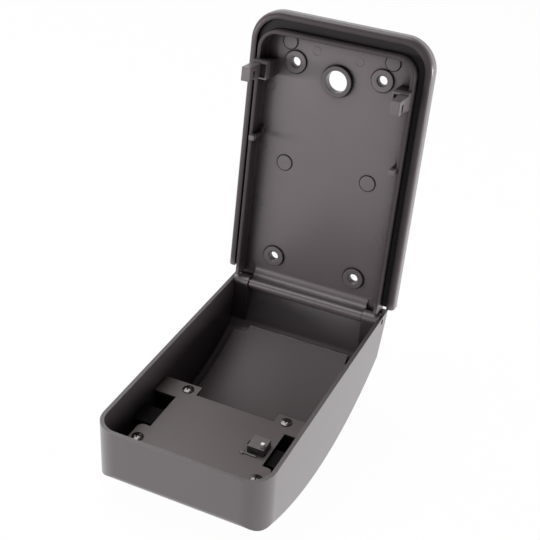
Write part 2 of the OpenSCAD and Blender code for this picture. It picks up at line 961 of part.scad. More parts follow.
// Hub with a flat that lets the fence by, a groove, and a keyed boss
module code_hub(k) {
    gate_left = hub_face - hub_gate;
    color("goldenrod")
        on_hinge()
            translate([wheel_x[k], axle_y, axle_z])
                difference() {
                    union() {
                        difference() {
                            bar_x(gate_left, hub_face, hub_d);
                            box([gate_left - 1, -hub_d, hub_flat],
                                [hub_face + 1, hub_d, hub_d]);
                        }
                        bar_x(gate_left - hub_groove - 0.1, gate_left + 0.1, groove_d);
                        bar_x(hub_face - hub_length, hub_face - hub_length + hub_flange, hub_d);
                        bar_x(hub_face - 0.1, hub_face + hub_boss, hub_boss_d);
                        box([hub_face - 0.1, -0.6, 0],
                            [hub_face + hub_boss, 0.6, hub_boss_d / 2 + 0.8]);
                    }
                    bar_x(-hub_length - wheel_width, wheel_width, axle_d + 2 * run_fit);
                }
}

module code_hub_1() { code_hub(0); }
module code_hub_2() { code_hub(1); }
module code_hub_3() { code_hub(2); }
module code_hub_4() { code_hub(3); }

module change_button() {
    color("dimgray")
        on_hinge()
            difference() {
                box([change_x - change_width / 2, change_y - change_length / 2,
                        lock_top + slide_fit],
                    [change_x + change_width / 2, change_y + change_length / 2,
                        lock_top + change_height]);
                box([change_stem_x - 0.02, bar_y - 0.02, lock_top - 1],
                    [change_stem_x + change_stem + 0.02, bar_y + bar_length + 0.02,
                        lock_top + change_height - change_cap]);
            }
}

// Bar under the latch slide, with a finger in each hub's groove
module change_bar() {
    color("silver")
        on_hinge() {
            box([wheel_x[0] + groove_x - finger / 2, bar_y, bar_under],
                [change_stem_x + change_stem, bar_y + bar_length, bar_top]);
            box([change_stem_x, bar_y, bar_under],
                [change_stem_x + change_stem, bar_y + bar_length,
                    lock_top + change_height - change_cap - 0.02]);
            for (x = wheel_x)
                box([x + groove_x - finger / 2, axle_y + groove_d / 2 + 0.4, axle_z - 1],
                    [x + groove_x + finger / 2, bar_y + bar_length, bar_top]);
        }
}

wall_plate();
rim_seal();
cover_shell();
floor_liner();
lock_plate();
lock_screws();
hinge_pin();
wheel_brackets();
wheel_axle();
axle_clips();
wheel_bezel();
detent_strip();
latch_slide();
thumb_slide();
slide_rivets();
number_wheel_1();
number_wheel_2();
number_wheel_3();
number_wheel_4();
code_hub_1();
code_hub_2();
code_hub_3();
code_hub_4();
change_button();
change_bar();
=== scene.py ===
"""Combination key safe, standing open: finishes, marks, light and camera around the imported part."""

from __future__ import annotations

import json
import logging
import math
from dataclasses import dataclass, field
from enum import Enum
from typing import Iterable, Sequence, Union

import bmesh
import bpy
from mathutils import Matrix, Vector

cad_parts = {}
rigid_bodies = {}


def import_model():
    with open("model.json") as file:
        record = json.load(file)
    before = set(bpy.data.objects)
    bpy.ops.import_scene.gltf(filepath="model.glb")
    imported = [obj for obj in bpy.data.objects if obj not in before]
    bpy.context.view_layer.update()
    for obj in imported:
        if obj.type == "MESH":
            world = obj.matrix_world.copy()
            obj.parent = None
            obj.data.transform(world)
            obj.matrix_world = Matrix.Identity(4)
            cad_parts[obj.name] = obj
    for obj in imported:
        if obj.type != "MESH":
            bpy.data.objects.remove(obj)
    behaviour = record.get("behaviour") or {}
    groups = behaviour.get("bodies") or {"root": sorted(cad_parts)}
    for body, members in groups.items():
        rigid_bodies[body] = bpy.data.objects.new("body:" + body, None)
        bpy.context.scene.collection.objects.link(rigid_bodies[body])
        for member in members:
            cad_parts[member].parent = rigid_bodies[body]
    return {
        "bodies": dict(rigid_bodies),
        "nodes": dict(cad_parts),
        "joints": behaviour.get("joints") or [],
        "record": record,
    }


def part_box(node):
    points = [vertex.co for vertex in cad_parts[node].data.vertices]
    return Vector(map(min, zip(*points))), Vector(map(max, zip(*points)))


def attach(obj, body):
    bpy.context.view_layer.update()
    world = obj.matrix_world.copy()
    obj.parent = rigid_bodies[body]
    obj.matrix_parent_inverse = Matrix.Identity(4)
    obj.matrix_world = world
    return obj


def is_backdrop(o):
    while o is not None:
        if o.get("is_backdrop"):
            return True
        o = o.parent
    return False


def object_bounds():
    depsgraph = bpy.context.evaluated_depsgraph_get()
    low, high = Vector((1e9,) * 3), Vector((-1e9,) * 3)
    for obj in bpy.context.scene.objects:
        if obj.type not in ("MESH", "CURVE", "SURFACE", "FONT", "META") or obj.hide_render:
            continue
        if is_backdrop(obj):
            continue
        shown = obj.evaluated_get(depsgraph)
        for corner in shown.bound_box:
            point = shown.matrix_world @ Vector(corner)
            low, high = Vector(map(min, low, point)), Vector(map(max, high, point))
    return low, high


LOG = logging.getLogger("key_safe")
MM = 0.001

Colour = tuple[float, float, float]
Span = tuple[float, float]
Number = Union[int, float]

# Near black that hollows darken towards: painted shade.
SHADE_BLACK: Colour = (0.004, 0.004, 0.004)
WHITE: Colour = (1.0, 1.0, 1.0)
SHADER_SAMPLES = 6


class Slot(Enum):
    """The record's material slots."""

    CAST = "cast_grey"
    SEAL = "seal_rubber"
    SHEET = "lock_sheet"
    STEEL = "bright_steel"
    DARK = "dark_steel"
    ZINC = "zinc_cast"
    PLASTIC = "black_plastic"
    WHEEL = "wheel_plastic"
    BRASS = "hub_brass"


class Axis(Enum):
    """The direction that a drawn or turned grain runs in."""

    X = (1.0, 14.0, 14.0)
    NONE = (1.0, 1.0, 1.0)


class Wire:
    """An output socket that can be used in sums."""

    def __init__(self, graph: "Graph", socket: bpy.types.NodeSocket) -> None:
        """Keeps the socket and the graph that it belongs to."""
        self.graph = graph
        self.socket = socket

    def _sum(self, operation: str, first: "Feed", second: "Feed") -> "Wire":
        """Adds one Math node.

        Args:
            operation: The Math node's operation.
            first: Its first value.
            second: Its second value.

        Returns:
            The node's result.
        """
        return self.graph.node("ShaderNodeMath", {"operation": operation}, {0: first, 1: second})

    def __add__(self, other: "Feed") -> "Wire":
        """self + other."""
        return self._sum("ADD", self, other)

    def __radd__(self, other: "Feed") -> "Wire":
        """other + self."""
        return self._sum("ADD", other, self)

    def __sub__(self, other: "Feed") -> "Wire":
        """self - other."""
        return self._sum("SUBTRACT", self, other)

    def __rsub__(self, other: "Feed") -> "Wire":
        """other - self."""
        return self._sum("SUBTRACT", other, self)

    def __mul__(self, other: "Feed") -> "Wire":
        """self * other."""
        return self._sum("MULTIPLY", self, other)

    def __rmul__(self, other: "Feed") -> "Wire":
        """other * self."""
        return self._sum("MULTIPLY", other, self)

    def step(self, low: float, high: float) -> "Wire":
        """A smooth step.

        Args:
            low: Value that gives 0.
            high: Value that gives 1.

        Returns:
            The eased value between 0 and 1.
        """
        return self.graph.node(
            "ShaderNodeMapRange",
            {"interpolation_type": "SMOOTHSTEP"},
            {"Value": self, "From Min": low, "From Max": high},
        )


Feed = Union[Wire, Number, Sequence[float]]


class Graph:
    """A node tree of a material or of the world."""

    def __init__(self, owner: Union[bpy.types.Material, bpy.types.World]) -> None:
        """Empties the owner's tree.

        Args:
            owner: The material or world whose nodes are built.
        """
        owner.use_nodes = True
        self.tree = owner.node_tree
        self.tree.nodes.clear()

    def node(
        self,
        kind: str,
        settings: dict[str, object] | None = None,
        feeds: dict[Union[str, int], Feed] | None = None,
        out: Union[str, int] = 0,
    ) -> Wire:
        """Adds any node.

        Args:
            kind: The node's type.
            settings: Its properties, set before its sockets.
            feeds: Values or links of its inputs, by identifier, name or number.
            out: The output that is returned.

        Returns:
            The chosen output.
        """
        made = self.tree.nodes.new(kind)
        for name, value in (settings or {}).items():
            setattr(made, name, value)
        for key, value in (feeds or {}).items():
            self._feed(self._pick(made.inputs, key), value)
        if not len(made.outputs):
            return Wire(self, None)
        return Wire(self, self._pick(made.outputs, out))

    @staticmethod
    def _pick(
        sockets: Iterable[bpy.types.NodeSocket], key: Union[str, int]
    ) -> bpy.types.NodeSocket:
        """Finds a socket.

        Args:
            sockets: The node's inputs or outputs.
            key: Its number, identifier or name.

        Returns:
            The socket.
        """
        if isinstance(key, int):
            return list(sockets)[key]
        for socket in sockets:
            if socket.identifier == key:
                return socket
        return next(s for s in sockets if s.name == key and s.enabled)

    def _feed(self, socket: bpy.types.NodeSocket, value: Feed) -> None:
        """Links a wire, or sets a plain value.

        Args:
            socket: The input that is fed.
            value: A wire, a number, a colour or a vector.
        """
        if isinstance(value, Wire):
            self.tree.links.new(value.socket, socket)
        elif isinstance(value, (int, float)):
            socket.default_value = value
        elif len(value) == 3 and len(socket.default_value) == 4:
            socket.default_value = (*value, 1.0)
        else:
            socket.default_value = value

    def blend(self, factor: Feed, first: Feed, second: Feed) -> Wire:
        """Mixes two colours.

        Args:
            factor: 0 gives the first, 1 the second.
            first: A colour or a wire.
            second: A colour or a wire.

        Returns:
            The mixed colour.
        """
        return self.node(
            "ShaderNodeMix",
            {"data_type": "RGBA"},
            {"Factor_Float": factor, "A_Color": first, "B_Color": second},
            "Result_Color",
        )

    def place(self) -> Wire:
        """Object coordinates."""
        return self.node("ShaderNodeTexCoord", out="Object")

    def noise(self, place: Wire, size: float, detail: float = 2.0) -> Wire:
        """Noise whose lumps have a real size.

        Args:
            place: Coordinates in metres.
            size: Size of a lump in metres.
            detail: Octaves.

        Returns:
            A value around 0.5.
        """
        feeds: dict[Union[str, int], Feed] = {
            "Vector": place, "Scale": 1.0 / size, "Detail": detail,
        }
        return self.node("ShaderNodeTexNoise", None, feeds, "Fac")

    def rounded(self, radius: float) -> Wire:
        """The normal with every sharp edge eased over a small radius."""
        return self.node("ShaderNodeBevel", {"samples": SHADER_SAMPLES}, {"Radius": radius})

    def edges(self, eased: Wire) -> Wire:
        """How far an eased normal has turned away from the face.

        Args:
            eased: The eased normal.

        Returns:
            0 on a flat face, and more towards an edge.
        """
        face = self.node("ShaderNodeNewGeometry", out="Normal")
        agree = self.node(
            "ShaderNodeVectorMath", {"operation": "DOT_PRODUCT"}, {0: eased, 1: face}, "Value"
        )
        return 1.0 - agree

    def hollows(self, reach: float, alone: bool = False) -> Wire:
        """How open a spot lies: 1 in the open, lower in corners and grooves.

        Args:
            reach: How far away a neighbour still counts, in metres.
            alone: Whether only the piece itself counts.

        Returns:
            The openness.
        """
        settings = {"samples": SHADER_SAMPLES, "only_local": alone}
        return self.node("ShaderNodeAmbientOcclusion", settings, {"Distance": reach}, "AO")

    def bump(self, height: Wire, depth: float, normal: Wire | None = None) -> Wire:
        """Turns heights from 0 to 1 into a normal.

        Args:
            height: The height map.
            depth: Depth of a full step in metres.
            normal: A normal that the bump is added to.

        Returns:
            The bumped normal.
        """
        feeds: dict[Union[str, int], Feed] = {"Height": height, "Distance": depth, "Strength": 1.0}
        if normal is not None:
            feeds["Normal"] = normal
        return self.node("ShaderNodeBump", None, feeds)

    def principled(self, fixed: dict[str, Union[Number, Colour]], feeds: dict[str, Feed]) -> Wire:
        """The surface shader, joined to the output.

        Args:
            fixed: Sockets with one value all over.
            feeds: Sockets that vary over the surface.

        Returns:
            The shader.
        """
        shader = self.node("ShaderNodeBsdfPrincipled", None, {**fixed, **feeds}, "BSDF")
        self.node("ShaderNodeOutputMaterial", None, {"Surface": shader})
        return shader


@dataclass(frozen=True)
class PowderCoat:
    """Baked satin coat: orange peel, faint clouds, paler edges that are partly worn and partly a
    painted highlight, and painted shade in corners, grooves and deep hollows, where the coat also
    loses gloss.
    """

    name: str
    base: Colour
    # The paler edge colour: partly worn coat, partly a painted highlight.
    worn: Colour
    rough: float = 0.42
    peel: float = 0.55 * MM
    edge: float = 0.35 * MM
    # Strength of the paler edges, which are partly worn coat and partly a painted highlight.
    wear: float = 0.5
    specular: float = 0.4
    tint: Colour = (1.0, 0.85, 0.89)
    gloss: float = 1.0
    gloss_rough: float = 0.34
    gloss_index: float = 1.56
    # Painted shade: these settings set how far the base colour darkens in corners, grooves and deep
    # hollows.
    grime: float = 0.75
    grime_reach: float = 7 * MM
    groove_reach: float = 1.4 * MM
    deep_reach: float = 70 * MM
    wear_span: Span = (0.02, 0.3)
    wear_patch: Span = (0.1, 0.6)
    grime_span: Span = (0.25, 0.95)
    groove_span: Span = (0.3, 0.9)
    deep_span: Span = (0.48, 1.0)
    deep_loss: float = 0.45
    # Painted shade: darkens a band of the wall plate's lip, in front of the plate and above a set
    # height, and takes gloss off there.
    rub: float = 0.0
    rub_loss: float = 0.6
    rub_span: Span = (4.4 * MM, 6.2 * MM)
    rub_end: Span = (12.4 * MM, 13.6 * MM)
    rub_above: Span = (-66 * MM, -60 * MM)
    cloud: float = 28 * MM
    cloud_tone: float = 0.22
    speck: float = 0.22 * MM
    speck_tone: float = 0.12
    speck_share: float = 0.2
    peel_depth: float = 0.02 * MM
    peel_rough: float = 0.1
    cloud_rough: float = 0.08

    def build(self) -> bpy.types.Material:
        """Makes the material.

        Returns:
            The finished material.
        """
        material = bpy.data.materials.new(self.name)
        graph = Graph(material)
        place = graph.place()
        cloud = graph.noise(place, self.cloud, 3.0)
        grain = graph.noise(place, self.peel)
        speck = graph.noise(place, self.speck, 1.0)
        eased = graph.rounded(self.edge)
        # Paler edges along the eased normal: partly worn coat, partly a painted highlight.
        wear = graph.edges(eased).step(*self.wear_span) * cloud.step(*self.wear_patch) * self.wear
        # Painted shade: corners, grooves and deep hollows darken the base colour, and deep hollows
        # also lose coat.
        near = graph.hollows(self.grime_reach).step(*self.grime_span)
        groove = graph.hollows(self.groove_reach).step(*self.groove_span)
        deep = graph.hollows(self.deep_reach, True).step(*self.deep_span)
        unshaded = 1.0 - (1.0 - near * groove) * self.grime
        uneven = (cloud - 0.5) * self.cloud_tone + (speck - 0.5) * self.speck_tone + 1.0
        shade = uneven * unshaded * (deep * self.deep_loss + (1.0 - self.deep_loss))
        shine = deep * groove * self.gloss
        # Painted shade on the lip band, picked out by position; the same factor also takes coat off.
        if self.rub:
            forward = graph.node("ShaderNodeSeparateXYZ", None, {"Vector": place}, "Y") * -1.0
            height = graph.node("ShaderNodeSeparateXYZ", None, {"Vector": place}, "Z")
            band = forward.step(*self.rub_span) - forward.step(*self.rub_end)
            lip_shade_keep = 1.0 - band * height.step(*self.rub_above) * self.rub
            shade = shade * (lip_shade_keep * self.rub_loss + (1.0 - self.rub_loss))
            shine = shine * lip_shade_keep
        body = graph.node(
            "ShaderNodeVectorMath", {"operation": "SCALE"}, {0: self.base, "Scale": shade}
        )
        rough = (grain - 0.5) * self.peel_rough + (cloud - 0.5) * self.cloud_rough + self.rough
        pimples = grain * (1.0 - self.speck_share) + speck * self.speck_share
        graph.principled(
            {
                "Specular IOR Level": self.specular,
                "Specular Tint": self.tint,
                "Coat Roughness": self.gloss_rough,
                "Coat IOR": self.gloss_index,
            },
            {
                "Base Color": graph.blend(wear, body, self.worn),
                "Roughness": rough,
                "Coat Weight": shine,
                "Normal": graph.bump(pimples, self.peel_depth, eased),
            },
        )
        return material


@dataclass(frozen=True)
class Plated:
    """Plated or bare metal with a drawn grain and small stains, with painted shade darkening its
    hollows towards near black.
    """

    name: str
    base: Colour
    tarnish: Colour
    rough: float = 0.26
    grain: Axis = Axis.NONE
    edge: float = 0.15 * MM
    # Painted shade: how far hollows darken towards near black.
    grime: float = 0.97
    reach: float = 20 * MM
    hair: float = 1.2 * MM
    hair_depth: float = 0.006 * MM
    hair_rough: float = 0.22
    stain: float = 6 * MM
    stain_span: Span = (0.42, 0.75)
    stain_share: float = 0.5
    stain_rough: float = 0.12
    grime_span: Span = (0.45, 0.95)

    def build(self) -> bpy.types.Material:
        """Makes the material.

        Returns:
            The finished material.
        """
        material = bpy.data.materials.new(self.name)
        graph = Graph(material)
        place = graph.place()
        drawn = graph.node(
            "ShaderNodeMapping", None, {"Vector": place, "Scale": self.grain.value}
        )
        hair = graph.noise(drawn, self.hair, 3.0)
        stain = graph.noise(place, self.stain, 4.0)
        eased = graph.rounded(self.edge)
        stained = stain.step(*self.stain_span) * self.stain_share
        metal = graph.blend(stained, self.base, self.tarnish)
        # Painted shade: hollows darken towards near black.
        hollow_shade = (1.0 - graph.hollows(self.reach).step(*self.grime_span)) * self.grime
        rough = (hair - 0.5) * self.hair_rough + (stain - 0.5) * self.stain_rough + self.rough
        graph.principled(
            {"Metallic": 1.0},
            {
                "Base Color": graph.blend(hollow_shade, metal, SHADE_BLACK),
                "Roughness": rough,
                "Normal": graph.bump(hair, self.hair_depth, eased),
            },
        )
        return material


@dataclass(frozen=True)
class Moulded:
    """Moulded plastic or rubber with a fine mould grain."""

    name: str
    base: Colour
    rub: Colour
    rough: float = 0.5
    grain: float = 0.3 * MM
    depth: float = 0.015 * MM
    edge: float = 0.25 * MM
    # Painted shade: how far hollows darken towards near black.
    grime: float = 0.6
    reach: float = 4 * MM
    specular: float = 0.5
    grain_rough: float = 0.12
    smear: float = 12 * MM
    smear_span: Span = (0.5, 0.85)
    smear_share: float = 0.25
    smear_rough: float = 0.14
    rub_span: Span = (0.03, 0.3)
    rub_share: float = 0.6
    grime_span: Span = (0.2, 0.9)

    def build(self) -> bpy.types.Material:
        """Makes the material.

        Returns:
            The finished material.
        """
        material = bpy.data.materials.new(self.name)
        graph = Graph(material)
        place = graph.place()
        grain = graph.noise(place, self.grain)
        smear = graph.noise(place, self.smear, 3.0)
        eased = graph.rounded(self.edge)
        smeared = smear.step(*self.smear_span) * self.smear_share
        rubbed = graph.edges(eased).step(*self.rub_span) * self.rub_share + smeared
        # Painted shade: hollows darken towards near black.
        hollow_shade = (1.0 - graph.hollows(self.reach).step(*self.grime_span)) * self.grime
        plastic = graph.blend(rubbed, self.base, self.rub)
        rough = (grain - 0.5) * self.grain_rough + (smear - 0.5) * self.smear_rough + self.rough
        graph.principled(
            {"Specular IOR Level": self.specular},
            {
                "Base Color": graph.blend(hollow_shade, plastic, SHADE_BLACK),
                "Roughness": rough,
                "Normal": graph.bump(grain, self.depth, eased),
            },
        )
        return material


@dataclass(frozen=True)
class MarkPaint:
    """Flat paint of printed marks, a little uneven."""

    name: str
    base: Colour
    thin: Colour
    rough: float = 0.55
    patch: float = 0.5 * MM
    patch_span: Span = (0.45, 0.8)
    patch_share: float = 0.35
    patch_rough: float = 0.2
    depth: float = 0.004 * MM

    def build(self) -> bpy.types.Material:
        """Makes the material.

        Returns:
            The finished material.
        """
        material = bpy.data.materials.new(self.name)
        graph = Graph(material)
        patch = graph.noise(graph.place(), self.patch, 3.0)
        worn = patch.step(*self.patch_span) * self.patch_share
        graph.principled(
            {},
            {
                "Base Color": graph.blend(worn, self.base, self.thin),
                "Roughness": (patch - 0.5) * self.patch_rough + self.rough,
                "Normal": graph.bump(patch, self.depth),
            },
        )
        return material


class Finishes:
    """Every finish of the safe, built once."""

    def __init__(self) -> None:
        """Builds the materials."""
        cast = PowderCoat(
            "cast_satin_coat", (0.0655, 0.056, 0.059), (0.2, 0.183, 0.186), grime=0.4
        )
        # The wall plate wears the cover's grey coat; its paler base lifts the tray and is painted
        # light, and its lip band carries painted shade.
        plate = PowderCoat(
            "plate_satin_coat", (0.098, 0.081, 0.086), (0.1, 0.085, 0.09), edge=1.0 * MM,
            specular=0.2, gloss=1.0, gloss_rough=0.3, deep_span=(0.3, 0.8), rub=0.9
        )
        sheet = PowderCoat(
            "lock_sheet_coat", (0.059, 0.045, 0.045), (0.2, 0.18, 0.18), peel=0.4 * MM,
            edge=0.25 * MM, wear=0.9, gloss=0.9
        )
        liner = PowderCoat(
            "liner_moulding", (0.042, 0.035, 0.035), (0.5, 0.47, 0.47), 0.45, 0.35 * MM, 0.9 * MM,
            wear=1.0, gloss=0.15, grime=0.6, grime_reach=9 * MM
        )
        button = PowderCoat(
            "button_moulding", (0.09, 0.081, 0.083), (0.26, 0.25, 0.25), 0.38, 0.3 * MM, 0.25 * MM,
            grime=0.35
        )
        seal = Moulded(
            "seal_rubber", (0.026, 0.022, 0.0225), (0.04, 0.036, 0.037), 0.65, reach=5 * MM,
            specular=0.2
        )
        steel = Plated("plated_steel", (0.72, 0.71, 0.69), (0.5, 0.48, 0.45), 0.24, Axis.X)
        # Dark screw steel: its dark base stands in for the dark reflections on the screw heads, a
        # painted shade.
        dark = Plated(
            "dark_screw_steel", (0.13, 0.122, 0.118), (0.07, 0.066, 0.062), 0.2, grime=0.0
        )
        zinc = Plated("cast_zinc", (0.55, 0.55, 0.56), (0.4, 0.4, 0.41), 0.45)
        plastic = Moulded("black_moulding", (0.026, 0.024, 0.024), (0.09, 0.085, 0.085), 0.42)
        wheel = Moulded("wheel_moulding", (0.02, 0.02, 0.021), (0.06, 0.06, 0.06), 0.36)
        brass = Plated("turned_brass", (0.78, 0.58, 0.27), (0.5, 0.34, 0.14), 0.28, Axis.X)
        # Near-black steel for the latch slide, so that the notches it shows through read as shade:
        # painted shade.
        blackened = Plated("shaded_latch_steel", (0.014, 0.012, 0.012), (0.022, 0.02, 0.02), 0.55)
        mark = MarkPaint("mark_paint", (0.93, 0.92, 0.9), (0.8, 0.79, 0.76))
        self.by_slot: dict[Slot, bpy.types.Material] = {
            Slot.CAST: cast.build(),
            Slot.SHEET: sheet.build(),
            Slot.SEAL: seal.build(),
            Slot.STEEL: steel.build(),
            Slot.DARK: dark.build(),
            Slot.ZINC: zinc.build(),
            Slot.PLASTIC: plastic.build(),
            Slot.WHEEL: wheel.build(),
            Slot.BRASS: brass.build(),
        }
        self.blackened = blackened.build()
        self.plate = plate.build()
        self.liner = liner.build()
        self.button = button.build()
        self.mark = mark.build()

    def dress(self, frame: dict) -> None:
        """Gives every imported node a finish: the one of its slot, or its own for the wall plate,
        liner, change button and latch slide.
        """
        special = {
            "wall_plate": self.plate,
            "floor_liner": self.liner,
            "change_button": self.button,
            "latch_slide": self.blackened,
        }
        for row in frame["record"]["subparts"]:
            node = row["node"]
            material = special.get(node) or self.by_slot[Slot(row["material_slot"])]
            mesh = frame["nodes"][node].data
            mesh.materials.clear()
            mesh.materials.append(material)
            LOG.info("%s: %s", node, material.name)


@dataclass(frozen=True)
class Hinge:
    """Where the cover hangs: its parts are drawn from the hinge axis, then swung to the stop."""

    pos: Vector
    tilt: float

    @classmethod
    def of(cls, frame: dict) -> "Hinge":
        """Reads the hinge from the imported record.


        Returns:
            The hinge.
        """
        joint = next(j for j in frame["joints"] if j["name"] == "cover_hinge")
        return cls(Vector(joint["pos_m"]), math.radians(joint["range_deg"][1] - 90.0))

    def matrix(self) -> Matrix:
        """From the cover's own drawing to the row frame."""
        return Matrix.Translation(self.pos) @ Matrix.Rotation(self.tilt, 4, "X")


def as_piece(
    name: str, mesh: bpy.types.Mesh, body: str, material: bpy.types.Material
) -> bpy.types.Object:
    """Turns a finished mesh into a piece of the safe.

    Args:
        name: The piece's name.
        mesh: Its mesh, already in place.
        body: The body that it rides on.
        material: Its material.

    Returns:
        The new object.
    """
    mesh.materials.clear()
    mesh.materials.append(material)
    piece = bpy.data.objects.new(name, mesh)
    bpy.context.scene.collection.objects.link(piece)
    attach(piece, body)
    LOG.info("%s rides on %s", name, body)
    return piece


def evaluated_mesh(source: bpy.types.Object) -> bpy.types.Mesh:
    """Applies an object's modifiers and removes the object.

    Args:
        source: The object.

    Returns:
        The plain mesh that it gave.
    """
    graph = bpy.context.evaluated_depsgraph_get()
    mesh = bpy.data.meshes.new_from_object(source.evaluated_get(graph), depsgraph=graph)
    bpy.data.objects.remove(source)
    return mesh


@dataclass
class NumberWheels:
    """Printed digits on the ten flats of each number wheel."""

    across_corners: float = 19 * MM
    digit_size: float = 5.0 * MM
    thickness: float = 0.025 * MM
    curve_steps: int = 6
    faces: int = 10
    shown: tuple[int, ...] = (2, 7, 0, 4)

    def digit(self, text: str) -> bpy.types.Mesh:
        """One digit as a thin mesh, centred on the origin.

        Args:
            text: The digit.

        Returns:
            Its mesh.
        """
        curve = bpy.data.curves.new("digit_curve", "FONT")
        curve.body = text
        curve.size = self.digit_size
        curve.extrude = self.thickness
        curve.resolution_u = self.curve_steps
        holder = bpy.data.objects.new("digit_curve", curve)
        bpy.context.scene.collection.objects.link(holder)
        mesh = evaluated_mesh(holder)
        low = [min(v.co[i] for v in mesh.vertices) for i in range(2)]
        high = [max(v.co[i] for v in mesh.vertices) for i in range(2)]
        mesh.transform(Matrix.Translation((-(low[0] + high[0]) / 2, -(low[1] + high[1]) / 2, 0)))
        return mesh

    def build(self, frame: dict, hinge: Hinge, finishes: Finishes) -> None:
        """Makes one mesh of ten digits for each wheel.

        Args:
            hinge: Where the cover hangs.
            finishes: The safe's finishes.
        """
        flat = self.across_corners / 2 * math.cos(math.pi / self.faces)
        digits = [self.digit(str(k)) for k in range(self.faces)]
        upright = Matrix(((1, 0, 0, 0), (0, -1, 0, 0), (0, 0, -1, -flat), (0, 0, 0, 1)))
        for number, first in enumerate(self.shown, 1):
            low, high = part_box(f"number_wheel_{number}")
            joint = next(j for j in frame["joints"] if j["name"] == f"wheel_{number}_turn")
            centre = Vector(joint["pos_m"])
            centre.x = (low.x + high.x) / 2
            axle = Matrix.Translation(centre) @ Matrix.Rotation(hinge.tilt, 4, "X")
            whole = bmesh.new()
            for k in range(self.faces):
                copy = digits[(first + k) % self.faces].copy()
                turn = Matrix.Rotation(2 * math.pi * k / self.faces, 4, "X")
                copy.transform(axle @ turn @ upright)
                whole.from_mesh(copy)
                bpy.data.meshes.remove(copy)
            mesh = bpy.data.meshes.new(f"wheel_digits_{number}")
            whole.to_mesh(mesh)
            whole.free()
            as_piece(f"wheel_digits_{number}", mesh, f"wheel_{number}", finishes.mark)


@dataclass
class ChangeMarks:
    """Pale nib on the change button and the raised arrow beside it."""

    button_top: float = -10.174 * MM
    plate_top: float = -13.674 * MM
    nib: float = 1.8 * MM
    nib_rise: float = 1.9 * MM
    nib_at: Span = (25.7 * MM, -108.4 * MM)
    nib_bevel: float = 0.15 * MM
    arrow_tail: Span = (24.6 * MM, -112.6 * MM)
    arrow_length: float = 6.8 * MM
    arrow_width: float = 1.0 * MM
    arrow_rise: float = 0.55 * MM
    arrow_bevel: float = 0.18 * MM
    head: float = 3.4 * MM
    head_share: float = 0.6
    sink: float = 0.05 * MM

    @staticmethod
    def slab(outline: Sequence[tuple[float, float]], low: float, high: float) -> bmesh.types.BMesh:
        """A thin plate of any outline.

        Args:
            outline: Its corners, counter-clockwise.
            low: Height of its underside.
            high: Height of its top.

        Returns:
            The closed shape.
        """
        shape = bmesh.new()
        ring = [shape.verts.new((x, y, low)) for x, y in outline]
        base = shape.faces.new(ring)
        grown = bmesh.ops.extrude_face_region(shape, geom=[base])
        bmesh.ops.translate(
            shape,
            verts=[v for v in grown["geom"] if isinstance(v, bmesh.types.BMVert)],
            vec=(0, 0, high - low),
        )
        bmesh.ops.recalc_face_normals(shape, faces=shape.faces[:])
        return shape

    @staticmethod
    def finish_shape(
        shape: bmesh.types.BMesh, name: str, hinge: Hinge, bevel: float
    ) -> bpy.types.Mesh:
        """Eases a slab's edges and puts it in place.

        Args:
            shape: The slab, from the hinge axis.
            name: The mesh's name.
            hinge: Where the cover hangs.
            bevel: Width of the eased edge.

        Returns:
            The mesh in the row frame.
        """
        bmesh.ops.bevel(
            shape, geom=shape.edges[:], offset=bevel, segments=2, affect="EDGES", profile=0.5
        )
        mesh = bpy.data.meshes.new(name)
        shape.to_mesh(mesh)
        shape.free()
        mesh.transform(hinge.matrix())
        return mesh

    def build(self, hinge: Hinge, finishes: Finishes) -> None:
        """Makes both marks.

        Args:
            hinge: Where the cover hangs.
            finishes: The safe's finishes.
        """
        x, y = self.nib_at
        half = self.nib / 2
        corners = [
            (x - half, y - half), (x + half, y - half), (x + half, y + half), (x - half, y + half),
        ]
        nib = self.slab(corners, self.button_top - self.sink, self.button_top + self.nib_rise)
        mesh = self.finish_shape(nib, "change_nib", hinge, self.nib_bevel)
        as_piece("change_nib", mesh, "change", finishes.mark)
        x, y = self.arrow_tail
        w = self.arrow_width / 2
        neck = x - self.arrow_length
        outline = [
            (x, y - w), (x, y + w), (neck, y + w), (neck, y + self.head / 2),
            (neck - self.head * self.head_share, y), (neck, y - self.head / 2), (neck, y - w),
        ]
        top = self.plate_top + self.arrow_rise
        arrow = self.slab(outline[::-1], self.plate_top - self.sink, top)
        mesh = self.finish_shape(arrow, "change_arrow", hinge, self.arrow_bevel)
        # The arrow takes the paler button coat, so that it reads lighter than the sheet around it: a
        # painted highlight.
        as_piece("change_arrow", mesh, "cover", finishes.button)


